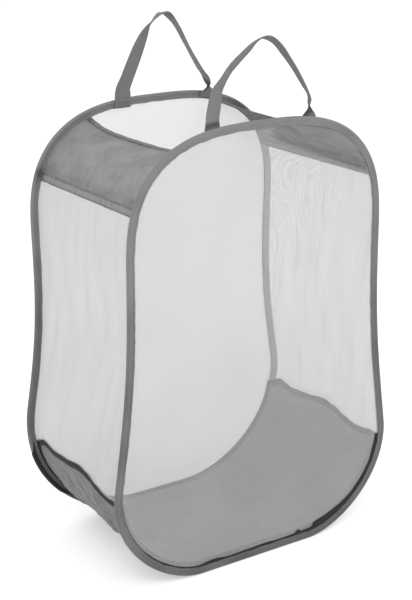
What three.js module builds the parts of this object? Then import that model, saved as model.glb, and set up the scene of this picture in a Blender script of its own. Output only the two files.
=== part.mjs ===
// A pop up laundry hamper. Two spring steel hoops, each closed by a crimped ferrule and held in a
// folded fabric binding, stand one behind the other. Each hoop carries a face of mesh. A strip of
// cloth and mesh joins the hoops all round: grey shoulders beside the open mouth, mesh sides and a
// grey base, whose cut edges are bound in black tape. A webbing handle is sewn to the top of each
// hoop. Pushed together the hoops lie flat, and let go they spring apart again.
// Millimetres, +Z up, the front hoop towards -Y, the floor at Z = 0.

import * as THREE from "three";

// Hoop outline, along the centre line of the wire
const hoopHeight = 606;
const lowHalfWidth = 240; // where the sides would meet the lowest level
const highHalfWidth = 195; // where the sides would meet the highest level
const topCornerHeight = 167;
const topRoundness = 2.95; // power of the corner's superellipse: 2 is an ellipse
const frameDepth = 240; // between the planes of the two hoops
// The two hoops are alike, but the cloth pulls each into a shape of its own: the straight stretch
// on the floor, the bottom corners and how far each side is drawn in at the waist.
const frontHoop = { flatHalfWidth: 93, cornerHeight: 144, roundness: 1.74, waist: 11 };
const backHoop = { flatHalfWidth: 46, cornerHeight: 190, roundness: 1.85, waist: 16 };
const waistShares = { from: 0.1, to: 0.9 }; // heights between which the waist is drawn in

// Wire, ferrule and the running clearance between soft pieces
const wireRadius = 1;
const ferruleWall = 0.5;
const ferruleLength = 24;
const fitGap = 0.3;
const channelClearance = 0.5;

// Cloth, mesh and tape
const clothThickness = 1;
const meshThickness = 0.8;
const tapeThickness = 0.8;
const bindingReach = 8; // from the wire's centre line to the ends of the binding's legs
const shoulderDrop = 87; // from the top of the wire down to the upper seam
const baseRise = 128; // from the bottom of the wire up to the lower seam
const mouthHalfWidth = 112;
const seamTapeHeight = 12;
const mouthTapeHeight = 8;
const baseTapeHeight = 7;

// How the cloth hangs between the hoops
const leftMouth = { sag: 14, power: 4 }; // a higher power hangs flatter and drops steeper
const rightMouth = { sag: 9, power: 2 };
const sideHang = { sag: 6, power: 4 };
const foldDepth = 2;
const foldCount = 2;
const foldLeanShare = 0.7; // how far the folds lean across over the height of a side, in folds
const seamWaveReach = 55; // how far from the lower seam the cloth follows its wandering
// The lower seam's wandering up and down: shares of the depth from the front, and millimetres
const seamWaveShares = [
  [0, 0],
  [0.19, -4],
  [0.3, 2],
  [0.38, 9],
  [0.47, 12],
  [0.65, 5],
  [0.78, 2],
  [0.9, 7],
  [1, -4],
];

// Webbing handles
const strapWidth = 25;
const strapThickness = 1.6;
const handleFoldHeight = 8.5; // from the top of the wire up to the fold the loop swings on
const handleEndDepth = 11; // how far the sewn ends reach below the top of the wire
const frontHandleHalfSpan = 77;
const frontHandleRise = 97; // from the fold of the strap to its highest point
const backHandleHalfSpan = 71;
const backHandleRise = 105;
const frontHandleShift = 4; // the handles are sewn on a little to the right
const backHandleShift = 14;
const quarterTurn = Math.PI / 2;

// The loops' centre lines, foot to foot: shares of the half span, shares of the rise, and how far
// the strap has turned from facing forward, in quarter turns.
const frontLoopShares = [
  [-1, 0, 0],
  [-0.99, 0.08, 0.04],
  [-0.96, 0.2, 0.14],
  [-0.92, 0.35, 0.26],
  [-0.8, 0.49, 0.42],
  [-0.65, 0.64, 0.64],
  [-0.45, 0.77, 0.76],
  [-0.2, 0.91, 0.88],
  [0.04, 1, 1],
  [0.29, 0.91, 1.08],
  [0.52, 0.71, 1.18],
  [0.7, 0.53, 1.26],
  [0.92, 0.27, 1.32],
  [1.01, 0.14, 1.4],
  [1, 0.05, 1.82],
  [1, 0, 2],
];
const backLoopShares = [
  [-1, 0, 0],
  [-0.985, 0.07, 0.1],
  [-0.92, 0.16, 0.16],
  [-0.82, 0.3, 0.18],
  [-0.71, 0.45, 0.2],
  [-0.6, 0.6, 0.26],
  [-0.47, 0.75, 0.4],
  [-0.3, 0.89, 0.68],
  [-0.045, 1, 1],
  [0.21, 0.86, 1.2],
  [0.52, 0.53, 1.34],
  [0.83, 0.21, 1.36],
  [0.95, 0.11, 1.46],
  [0.99, 0.04, 1.84],
  [1, 0, 2],
];

// Fineness of the facets
const outlineSteps = 60;
const acrossSteps = 16;
const handleSteps = 40;
const wireSides = 6;
const ferruleSides = 16;
const bindingArcSteps = 6;
const curveSamples = 160;

// Sizes that follow from the ones above
const slotHalf = (meshThickness + clothThickness + 3 * fitGap) / 2;
const ferruleRadius = wireRadius + fitGap + ferruleWall;
const channelRadius = ferruleRadius + channelClearance;
const bindingRadius = channelRadius + tapeThickness;
const bindingHalf = slotHalf + tapeThickness;
const halfDepth = frameDepth / 2;
const webInset = bindingReach + fitGap; // outer face of the strip, from the wire
const baseInset = webInset + fitGap + tapeThickness + fitGap;
const lipInner = slotHalf - fitGap; // the strip's turned-up edge, from the plane of the hoop
const lipOuter = lipInner - clothThickness;
const baseTapeEnd = lipInner + baseTapeHeight;
const clothStart = bindingHalf + fitGap;
const wireBottom = bindingRadius;
const wireTop = wireBottom + hoopHeight;
const floorBillow = baseInset + bindingRadius; // brings the base down to the floor

const mix = (a, b, t) => a + (b - a) * t;
const clamp01 = (t) => Math.min(1, Math.max(0, t));
const smooth = (t) => clamp01(t) ** 2 * (3 - 2 * clamp01(t));

// A value between the knots of a table of [place, value], eased at each knot.
function alongTable(table, at) {
  for (let i = 1; i < table.length; i++) {
    const [[from, a], [to, b]] = [table[i - 1], table[i]];
    if (at >= from && at <= to) {
      return mix(a, b, smooth((at - from) / (to - from)));
    }
  }
  return at < table[0][0] ? table[0][1] : table.at(-1)[1];
}

// One half of a hoop's outline, from the middle of the bottom round to the middle of the top.
// Each sample has its place and the length run so far.
function sampleHalfOutline({ flatHalfWidth, cornerHeight, roundness, waist }) {
  const widthAt = (z) => mix(lowHalfWidth, highHalfWidth, z / hoopHeight);
  const points = [];
  const add = (x, z) => {
    const { from, to } = waistShares;
    const level = clamp01((z / hoopHeight - from) / (to - from));
    points.push({ x: x - waist * Math.sin(Math.PI * level) ** 2 * (x / widthAt(z)), z });
  };
  for (let i = 0; i < curveSamples; i++) add((flatHalfWidth * i) / curveSamples, 0);
  for (let i = 0; i < curveSamples; i++) {
    const turn = (quarterTurn * i) / curveSamples;
    const z = cornerHeight * (1 - Math.cos(turn) ** (2 / roundness));
    add(mix(flatHalfWidth, widthAt(z), Math.sin(turn) ** (2 / roundness)), z);
  }
  const shoulderLevel = hoopHeight - topCornerHeight;
  for (let i = 0; i < curveSamples; i++) {
    const z = mix(cornerHeight, shoulderLevel, i / curveSamples);
    add(widthAt(z), z);
  }
  for (let i = 0; i <= curveSamples; i++) {
    const turn = (quarterTurn * i) / curveSamples;
    const z = shoulderLevel + topCornerHeight * Math.sin(turn) ** (2 / topRoundness);
    add(widthAt(z) * Math.max(0, Math.cos(turn)) ** (2 / topRoundness), z);
  }
  let run = 0;
  points.forEach((point, i) => {
    const last = points[Math.max(0, i - 1)];
    run += Math.hypot(point.x - last.x, point.z - last.z);
    point.run = run;
  });
  return points;
}

const frontOutline = sampleHalfOutline(frontHoop);
const backOutline = sampleHalfOutline(backHoop);
const halfLength = frontOutline.at(-1).run;

// A hoop's place and outward direction, at a run of the front hoop's length from the bottom. The
// back hoop takes the same share of its own length.
function outlineAt(points, run) {
  const end = points.length - 1;
  const along = Math.min(Math.abs(run) / halfLength, 1) * points[end].run;
  let low = 0;
  let high = end;
  while (high - low > 1) {
    const middle = (low + high) >> 1;
    if (points[middle].run <= along) {
      low = middle;
    } else {
      high = middle;
    }
  }
  const t = clamp01((along - points[low].run) / (points[high].run - points[low].run));
  const before = points[Math.max(0, low - 1)];
  const after = points[Math.min(end, high + 1)];
  const [a, b] = [points[low], points[high]];
  const dx = mix(b.x - before.x, after.x - a.x, t);
  const dz = mix(b.z - before.z, after.z - a.z, t);
  const outward = new THREE.Vector2(dz, -dx).normalize();
  if (along === 0) outward.set(0, -1);
  if (along === points[end].run) outward.set(0, 1);
  return { x: mix(a.x, b.x, t), z: mix(a.z, b.z, t), outX: outward.x, outZ: outward.y };
}

const runWhere = (test) => frontOutline.find(test).run;
const upperSeam = runWhere((point) => point.z >= hoopHeight - shoulderDrop);
const lowerSeam = runWhere((point) => point.z >= baseRise);
const mouthEdge = runWhere((p) => p.z > hoopHeight - topCornerHeight && p.x <= mouthHalfWidth);
const flatEnd = runWhere((point) => point.z > 0);

// A point of the strip between the hoops, at a signed run round the outline (right side positive),
// a place y across the depth and an inset from the wire towards the inside.
function place(run, y, inset) {
  const [front, back] = [outlineAt(frontOutline, run), outlineAt(backOutline, run)];
  const across = clamp01((y + halfDepth) / frameDepth);
  const x = mix(front.x - front.outX * inset, back.x - back.outX * inset, across);
  const z = mix(front.z - front.outZ * inset, back.z - back.outZ * inset, across);
  return new THREE.Vector3(Math.sign(run || 1) * x, y, wireBottom + z);
}

// How deep the mesh of each side hangs at each run. It is level at the seams.
const sideSagTable = [
  [lowerSeam, 0],
  [(lowerSeam + upperSeam) / 2, sideHang.sag],
  [upperSeam, 0],
];

// A point of the hanging cloth. Near the lower seam its run follows the seam's wandering.
function clothPoint(run, y, inset) {
  const share = clamp01((y + halfDepth - clothStart) / (frameDepth - 2 * clothStart));
  const fromMiddle = Math.abs(2 * share - 1);
  const mouth = run < 0 ? leftMouth : rightMouth;
  const towardsMouth = smooth((Math.abs(run) - upperSeam) / (mouthEdge - upperSeam));
  const mouthDepth = mouth.sag * towardsMouth * (1 - fromMiddle ** mouth.power);
  const near = 1 - smooth(Math.abs(Math.abs(run) - lowerSeam) / seamWaveReach);
  const wave = alongTable(seamWaveShares, share) * near;
  const height = clamp01((Math.abs(run) - lowerSeam) / (upperSeam - lowerSeam));
  const lean = 2 * Math.PI * (foldCount * share + foldLeanShare * height);
  const fold = foldDepth * Math.sin(lean) * Math.sin(Math.PI * height) ** 2;
  const sideDepth = alongTable(sideSagTable, Math.abs(run)) + fold;
  const depth = inset + mouthDepth + sideDepth * (1 - fromMiddle ** sideHang.power);
  return place(run + Math.sign(run || 1) * wave, y, depth);
}

// A point of the base, which billows down to the floor between the hoops.
function basePoint(run, y, inset) {
  const share = clamp01((y + halfDepth - baseTapeEnd) / (frameDepth - 2 * baseTapeEnd));
  const edge = Math.abs(2 * share - 1);
  const across = Math.min(1, 1.25 * (1 - edge ** 6));
  const level = smooth((Math.abs(run) - flatEnd) / (lowerSeam - baseTapeHeight - flatEnd));
  const along = (1 - level) ** 2;
  const point = clothPoint(run, y, inset - floorBillow * across * along);
  point.z = Math.max(point.z, 0);
  return point;
}

// A closed body through rings of points. The last ring joins the first, unless the ends are capped
// with a list of triangles between the points of a ring.
function loft(rings, caps) {
  const count = rings[0].length;
  const positions = rings.flat().flatMap((point) => point.toArray());
  const index = [];
  const spans = caps ? rings.length - 1 : rings.length;
  for (let i = 0; i < spans; i++) {
    const [a, b] = [i * count, ((i + 1) % rings.length) * count];
    for (let j = 0; j < count; j++) {
      const k = (j + 1) % count;
      index.push(a + j, b + j, b + k, a + j, b + k, a + k);
    }
  }
  const last = (rings.length - 1) * count;
  for (const [p, q, r] of caps ?? []) {
    index.push(p, q, r);
    index.push(last + p, last + r, last + q);
  }
  const geometry = new THREE.BufferGeometry();
  geometry.setAttribute("position", new THREE.Float32BufferAttribute(positions, 3));
  geometry.setIndex(index);
  return facingOut(geometry);
}

// Caps for a flat section of any shape, whose sides run the way its points are listed.
function flatCaps(section) {
  const shape = section.map(([x, y]) => new THREE.Vector2(x, y));
  const clockwise = THREE.ShapeUtils.isClockWise(shape);
  const triangles = THREE.ShapeUtils.triangulateShape(shape, []);
  return triangles.map(([p, q, r]) => (clockwise ? [p, r, q] : [p, q, r]));
}

// A sheet's section goes along one side and back along the other. Its caps join the points that
// face each other, like the rungs of a ladder, so that they follow an edge that isn't straight.
const sheetRing = (oneSide, otherSide) => [...oneSide, ...otherSide.toReversed()];

function sheetCaps(count) {
  const caps = [];
  for (let i = 0; i < count / 2 - 1; i++) {
    const j = count - 1 - i;
    caps.push([i, i + 1, j], [i + 1, j - 1, j]);
  }
  return caps;
}

// Turns a closed body's faces round if they point inwards, which its signed volume shows.
function facingOut(geometry) {
  const position = geometry.attributes.position;
  const index = geometry.index.array;
  const [a, b, c] = [new THREE.Vector3(), new THREE.Vector3(), new THREE.Vector3()];
  let volume = 0;
  for (let i = 0; i < index.length; i += 3) {
    a.fromBufferAttribute(position, index[i]);
    b.fromBufferAttribute(position, index[i + 1]);
    c.fromBufferAttribute(position, index[i + 2]);
    volume += a.dot(b.cross(c));
  }
  if (volume < 0) {
    for (let i = 0; i < index.length; i += 3) {
      [index[i + 1], index[i + 2]] = [index[i + 2], index[i + 1]];
    }
  }
  geometry.computeVertexNormals();
  return geometry;
}

// Runs shared by everything that follows the outline, so that neighbours have the same facets.
const seamRuns = [
  mouthEdge,
  mouthEdge - mouthTapeHeight,
  upperSeam,
  upperSeam - seamTapeHeight,
  lowerSeam,
  lowerSeam - baseTapeHeight,
  flatEnd,
];
const evenStep = halfLength / (outlineSteps / 2);
const evenRuns = Array.from({ length: outlineSteps / 2 + 1 }, (_, i) => i * evenStep).filter(
  (run) => seamRuns.every((seam) => Math.abs(run - seam) > evenStep / 4),
);
const halfRuns = [...seamRuns, ...evenRuns].sort((a, b) => a - b);
const allRuns = [...halfRuns.slice(1, -1).map((run) => -run).reverse(), ...halfRuns];

const runsBetween = (from, to) => [
  from,
  ...allRuns.filter((run) => run > from + fitGap && run < to - fitGap),
  to,
];

// Places across the depth, at the same steps for every piece but for its own two ends.
function acrossFrom(start) {
  const reach = halfDepth - start;
  const steps = Array.from({ length: acrossSteps + 1 }, (_, i) =>
    mix(-halfDepth, halfDepth, i / acrossSteps),
  );
  return [-reach, ...steps.filter((y) => Math.abs(y) < reach - clothStart), reach];
}

// The wire: a round ring along the whole outline.
function hoopWire(y) {
  return loft(
    allRuns.map((run) =>
      Array.from({ length: wireSides }, (_, i) => {
        const turn = (4 * quarterTurn * i) / wireSides;
        return place(run, y + wireRadius * Math.cos(turn), wireRadius * Math.sin(turn));
      }),
    ),
  );
}

// The sleeve crimped over the wire's two ends, in the middle of the bottom.
function wireFerrule(y) {
  const bore = wireRadius + fitGap;
  const half = ferruleLength / 2;
  const profile = [
    [bore, -half],
    [ferruleRadius, -half],
    [ferruleRadius, half],
    [bore, half],
    [bore, -half],
  ].map(([radius, along]) => new THREE.Vector2(radius, along));
  const sleeve = new THREE.LatheGeometry(profile, ferruleSides);
  sleeve.rotateZ(quarterTurn);
  sleeve.translate(0, y, wireBottom);
  return facingOut(sleeve);
}

// The binding: a tape folded round the wire, whose two legs close on the mesh and the strip.
function hoopBinding(y) {
  const arc = (radius, half, step) => {
    const from = Math.asin(half / radius);
    const turn = mix(from, 4 * quarterTurn - from, step / bindingArcSteps);
    return [radius * Math.sin(turn), radius * Math.cos(turn)];
  };
  const steps = Array.from({ length: bindingArcSteps + 1 }, (_, i) => i);
  const section = [
    [bindingHalf, bindingReach],
    ...steps.map((i) => arc(bindingRadius, bindingHalf, i)),
    [-bindingHalf, bindingReach],
    [-slotHalf, bindingReach],
    ...steps.map((i) => arc(channelRadius, slotHalf, bindingArcSteps - i)),
    [slotHalf, bindingReach],
  ];
  return loft(allRuns.map((run) => section.map(([side, inset]) => place(run, y + side, inset))));
}

// A face of mesh. Its edge lies in the outer half of the binding's slot.
function facePanel(y, outward) {
  const near = y + outward * (slotHalf - fitGap - meshThickness);
  const far = y + outward * (slotHalf - fitGap);
  const rings = [near, far].map((level) =>
    allRuns.map((run) => {
      const point = place(run, y, channelRadius);
      return new THREE.Vector3(point.x, level, point.z);
    }),
  );
  return loft(rings, flatCaps(rings[0].map((point) => [point.x, point.z])));
}

// A stretch of the strip, with its edges turned up into the slots of both bindings.
function lippedPanel(from, to, thickness) {
  const inner = halfDepth - lipInner;
  const outer = inner + thickness;
  const web = acrossFrom(clothStart);
  const section = sheetRing(
    [
      [-inner, channelRadius],
      [-inner, webInset],
      ...web.map((y) => [y, webInset]),
      [inner, webInset],
      [inner, channelRadius],
    ],
    [
      [-outer, channelRadius],
      [-outer, webInset + thickness],
      ...web.map((y) => [y, webInset + thickness]),
      [outer, webInset + thickness],
      [outer, channelRadius],
    ],
  );
  const rings = runsBetween(from, to).map((run) =>
    section.map(([y, inset]) => clothPoint(run, y, inset)),
  );
  return loft(rings, sheetCaps(section.length));
}

// The base: one piece of cloth under the whole hamper and up both sides to the lower seams.
function basePanel() {
  const end = lowerSeam - tapeThickness - fitGap;
  const edge = halfDepth - lipInner - fitGap;
  const web = [-edge, ...acrossFrom(baseTapeEnd), edge];
  const rings = runsBetween(-end, end).map((run) => {
    const under = web.map((y) => basePoint(run, y, baseInset));
    const over = under.map((point, i) => {
      const inwards = place(run, web[i], clothThickness).sub(place(run, web[i], 0));
      return point.clone().add(inwards);
    });
    return sheetRing(under, over);
  });
  return loft(rings, sheetCaps(rings[0].length));
}

// A tape folded over an edge that runs from hoop to hoop: a U whose closed end is at the edge.
function edgeTape(side, edgeRun, height, inset, thickness, start) {
  const [outer, inner] = [inset - fitGap, inset + thickness + fitGap];
  const closed = edgeRun - tapeThickness;
  const open = edgeRun - height;
  const section = sheetRing(
    [
      [open, outer - tapeThickness],
      [edgeRun, outer - tapeThickness],
      [edgeRun, inner + tapeThickness],
      [open, inner + tapeThickness],
    ],
    [
      [open, outer],
      [closed, outer],
      [closed, inner],
      [open, inner],
    ],
  );
  const rings = acrossFrom(start).map((y) =>
    section.map(([run, depth]) => clothPoint(side * run, y, depth)),
  );
  return loft(rings, sheetCaps(section.length));
}

// The black tape on the base's long edges, which is sewn into the binding's slot by its lip.
function hoopSideTape(outward) {
  const [outer, inner] = [baseInset - fitGap, baseInset + clothThickness + fitGap];
  const section = [
    [lipOuter, channelRadius],
    [lipInner, channelRadius],
    [lipInner, outer - tapeThickness],
    [baseTapeEnd, outer - tapeThickness],
    [baseTapeEnd, outer],
    [lipInner, outer],
    [lipInner, inner],
    [baseTapeEnd, inner],
    [baseTapeEnd, inner + tapeThickness],
    [lipOuter, inner + tapeThickness],
  ];
  const end = lowerSeam - fitGap + alongTable(seamWaveShares, outward > 0 ? 1 : 0);
  const rings = runsBetween(-end, end).map((run) =>
    section.map(([y, inset]) => place(run, outward * (halfDepth - y), inset)),
  );
  return loft(rings, flatCaps(section));
}

// The strap's loop above its fold. The strap faces forward at its feet and turns half round on its
// way over, so that its face looks up at the top of the arch.
function handleLoop(y, shift, halfSpan, rise, shares) {
  const foldLevel = wireTop + handleFoldHeight + fitGap / 2;
  const knots = shares.map(
    ([across, up, turns]) =>
      new THREE.Vector3(
        shift + halfSpan * across,
        (rise - fitGap / 2) * up,
        turns * quarterTurn * strapWidth,
      ),
  );
  const line = new THREE.CatmullRomCurve3(knots, false, "centripetal");
  const rings = [];
  for (let i = 0; i <= handleSteps; i++) {
    const here = line.getPointAt(i / handleSteps);
    const point = new THREE.Vector3(here.x, y, foldLevel + here.y);
    const tangent = line.getTangentAt(i / handleSteps);
    const ahead = new THREE.Vector3(tangent.x, 0, tangent.y).normalize();
    if (i === 0) ahead.set(0, 0, 1);
    if (i === handleSteps) ahead.set(0, 0, -1);
    const angle = here.z / strapWidth;
    const wide = new THREE.Vector3(ahead.z, 0, -ahead.x).multiplyScalar(Math.cos(angle));
    wide.y = Math.sin(angle);
    const thin = new THREE.Vector3().crossVectors(ahead, wide).normalize();
    const corner = (across, through) =>
      point
        .clone()
        .addScaledVector(wide, (across * strapWidth) / 2)
        .addScaledVector(thin, (through * strapThickness) / 2);
    rings.push([corner(-1, -1), corner(1, -1), corner(1, 1), corner(-1, 1)]);
  }
  return loft(rings, sheetCaps(4));
}

// A sewn end of a strap, flat against the inside of the binding.
function handleEnd(x, y) {
  const top = wireTop + handleFoldHeight - fitGap / 2;
  const bottom = wireTop - handleEndDepth;
  const end = new THREE.BoxGeometry(strapWidth, strapThickness, top - bottom);
  end.translate(x, y, (top + bottom) / 2);
  return end;
}

const materials = {
  wire: { color: 0x8c9096, roughness: 0.35, metalness: 1 },
  binding: { color: 0x737477, roughness: 0.8, metalness: 0 },
  cloth: { color: 0x8f9092, roughness: 0.75, metalness: 0 },
  mesh: { color: 0xf2f2f2, roughness: 0.85, metalness: 0 },
  blackTape: { color: 0x1d1d1f, roughness: 0.8, metalness: 0 },
  webbing: { color: 0x757678, roughness: 0.85, metalness: 0 },
};

const hamper = new THREE.Group();

function add(name, geometry, look) {
  const mesh = new THREE.Mesh(geometry, new THREE.MeshStandardMaterial(materials[look]));
  mesh.name = name;
  hamper.add(mesh);
}

const hoops = [
  {
    name: "front",
    outward: -1,
    shift: frontHandleShift,
    halfSpan: frontHandleHalfSpan,
    rise: frontHandleRise,
    shares: frontLoopShares,
  },
  {
    name: "back",
    outward: 1,
    shift: backHandleShift,
    halfSpan: backHandleHalfSpan,
    rise: backHandleRise,
    shares: backLoopShares,
  },
];
for (const { name, outward, shift, halfSpan, rise, shares } of hoops) {
  const y = outward * halfDepth;
  const strapY = outward * (halfDepth - bindingRadius - fitGap - strapThickness / 2);
  add(`${name}_hoop_wire`, hoopWire(y), "wire");
  add(`${name}_wire_ferrule`, wireFerrule(y), "wire");
  add(`${name}_hoop_binding`, hoopBinding(y), "binding");
  add(`${name}_mesh_panel`, facePanel(y, outward), "mesh");
  add(`base_${name}_tape`, hoopSideTape(outward), "blackTape");
  add(`${name}_handle_loop`, handleLoop(strapY, shift, halfSpan, rise, shares), "webbing");
  add(`${name}_handle_left_end`, handleEnd(shift - halfSpan, strapY), "webbing");
  add(`${name}_handle_right_end`, handleEnd(shift + halfSpan, strapY), "webbing");
}

const sides = [
  { name: "left", side: -1 },
  { name: "right", side: 1 },
];
for (const { name, side } of sides) {
  const stretch = (from, to) => (side > 0 ? [from, to] : [-to, -from]);
  const meshTop = upperSeam - tapeThickness - fitGap;
  const shoulderTop = mouthEdge - tapeThickness - fitGap;
  const mesh = lippedPanel(...stretch(lowerSeam + fitGap, meshTop), meshThickness);
  const shoulder = lippedPanel(...stretch(upperSeam + fitGap, shoulderTop), clothThickness);
  const seamTape = edgeTape(side, upperSeam, seamTapeHeight, webInset, meshThickness, clothStart);
  const mouthTape = edgeTape(side, mouthEdge, mouthTapeHeight, webInset, clothThickness, clothStart);
  const baseTapeStart = baseTapeEnd + fitGap;
  const baseTape = edgeTape(
    side,
    lowerSeam,
    baseTapeHeight,
    baseInset,
    clothThickness,
    baseTapeStart,
  );
  add(`${name}_side_mesh`, mesh, "mesh");
  add(`${name}_shoulder_panel`, shoulder, "cloth");
  add(`${name}_seam_tape`, seamTape, "binding");
  add(`${name}_mouth_tape`, mouthTape, "binding");
  add(`base_${name}_tape`, baseTape, "blackTape");
}
add("base_panel", basePanel(), "cloth");

export default hamper;
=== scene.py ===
# %% [markdown]
# # A pop up laundry hamper
#
# Two hoops of spring wire hold the hamper open. Each hoop runs in a folded tape and carries a face
# of net, and a strip of cloth and net joins the hoops all round. Every surface here is worked out
# from two numbers: the run, which is how far round the hoop a point lies, and the depth, which is
# how far it lies from the front hoop to the back hoop. Lengths are in millimetres, as on a drawing,
# and turn into metres when they go into a mesh.

# %% Load the frame
import math

import bpy
import numpy as np
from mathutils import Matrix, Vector


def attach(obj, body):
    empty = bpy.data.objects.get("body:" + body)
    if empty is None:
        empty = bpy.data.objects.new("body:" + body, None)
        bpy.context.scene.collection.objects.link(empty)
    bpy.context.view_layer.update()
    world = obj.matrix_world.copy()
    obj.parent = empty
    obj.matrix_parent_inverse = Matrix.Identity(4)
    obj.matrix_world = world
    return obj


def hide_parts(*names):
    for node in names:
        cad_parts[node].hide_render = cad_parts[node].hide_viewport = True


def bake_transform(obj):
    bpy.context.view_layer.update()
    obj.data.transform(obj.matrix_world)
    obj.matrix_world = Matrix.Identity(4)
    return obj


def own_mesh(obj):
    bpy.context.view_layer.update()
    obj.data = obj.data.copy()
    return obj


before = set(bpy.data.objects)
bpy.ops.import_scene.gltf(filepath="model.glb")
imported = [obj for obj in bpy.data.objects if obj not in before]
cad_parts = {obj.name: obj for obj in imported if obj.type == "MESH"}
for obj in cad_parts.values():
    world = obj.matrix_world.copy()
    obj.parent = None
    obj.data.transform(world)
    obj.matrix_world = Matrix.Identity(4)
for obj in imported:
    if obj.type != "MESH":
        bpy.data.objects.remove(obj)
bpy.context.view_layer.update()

# %% [markdown]
# ## The camera, the lights and the floor
#
# The picture was taken from the front left with a long lens, a little above the middle of the
# hamper. A long lens keeps the two hoops nearly the same size. The studio is a white room: an even
# white sky, one large soft light from the left and above, and a pale floor.

# %% Camera
MM = 0.001
AZIMUTH, ELEVATION, DISTANCE = math.radians(35.58), math.radians(18.45), 2.1309
aim = np.array([0.0, 0.0, 0.3055])
back = np.array([
    -math.sin(AZIMUTH) * math.cos(ELEVATION),
    -math.cos(AZIMUTH) * math.cos(ELEVATION),
    math.sin(ELEVATION),
])


def in_scene(name, data):
    """A new object, linked to the scene."""
    thing = bpy.data.objects.new(name, data)
    bpy.context.scene.collection.objects.link(thing)
    return thing


camera = bpy.context.scene.camera = in_scene("camera", bpy.data.cameras.new("camera"))
camera.location = aim + back * DISTANCE
camera.rotation_euler = (math.pi / 2 - ELEVATION, 0, -AZIMUTH)
camera.data.lens = 91.88
camera.data.shift_y = 0.0414
camera.data.clip_end = 200
print("camera stands at", [round(v, 3) for v in camera.location])

# %% Lights and floor
world = bpy.data.worlds.new("white_room")
bpy.context.scene.world = world
world.use_nodes = True
sky = world.node_tree.nodes["Background"].inputs
sky["Color"].default_value, sky["Strength"].default_value = (1, 1, 1, 1), 1.0


def soft_light(name, place, power, size):
    """A square area light at a place in metres, turned to face the middle of the hamper."""
    lamp = bpy.data.lights.new(name, "AREA")
    lamp.energy, lamp.size = power, size
    thing = in_scene(name, lamp)
    thing.location = place
    towards = Vector((0, 0, 0.3)) - thing.location
    thing.rotation_euler = towards.to_track_quat("-Z", "Y").to_euler()


bpy.context.scene.view_settings.view_transform = "Standard"
soft_light("key_light", (-1.7, -2.0, 2.6), 55, 1.6)
soft_light("fill_light", (2.4, -1.2, 1.6), 18, 1.8)
floor_mesh = bpy.data.meshes.new("floor")
floor_mesh.from_pydata([(-40, -40, 0), (40, -40, 0), (40, 40, 0), (-40, 40, 0)], [], [(0, 1, 2, 3)])
floor = in_scene("floor", floor_mesh)

# %% [markdown]
# ## Shader sums as plain Python
#
# A woven cloth is a sum of waves, and such sums are hard to read as a web of nodes. The class below
# wraps a socket, so that a line such as `1 - a * b` adds the Math nodes for it. Every other node
# comes from one method, which takes the node's type, its settings and its sockets.

# %% A socket that can be added and multiplied
class Sum:
    """A number on its way through a material. Python's operators add a Math node each."""

    def __init__(self, board, socket):
        self.board, self.socket = board, socket

    def math(self, operation, *others):
        node = self.board.make("ShaderNodeMath", {"operation": operation}, dict(enumerate(others)))
        return Sum(self.board, node.outputs[0])

    def __add__(self, other): return self.math("ADD", self, other)
    def __radd__(self, other): return self.math("ADD", other, self)
    def __sub__(self, other): return self.math("SUBTRACT", self, other)
    def __rsub__(self, other): return self.math("SUBTRACT", other, self)
    def __mul__(self, other): return self.math("MULTIPLY", self, other)
    def __rmul__(self, other): return self.math("MULTIPLY", other, self)
    def __truediv__(self, other): return self.math("DIVIDE", self, other)
    def sin(self): return self.math("SINE", self)
    def abs(self): return self.math("ABSOLUTE", self)
    def fold(self, half): return self.math("PINGPONG", self, half)
    def most(self, other): return self.math("MAXIMUM", self, other)

    def step(self, start, end):
        """0 below start and 1 above end, with a smooth rise between."""
        node = self.board.make(
            "ShaderNodeMapRange",
            {"interpolation_type": "SMOOTHSTEP"},
            {"Value": self, "From Min": start, "From Max": end},
        )
        return Sum(self.board, node.outputs[0])


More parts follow.
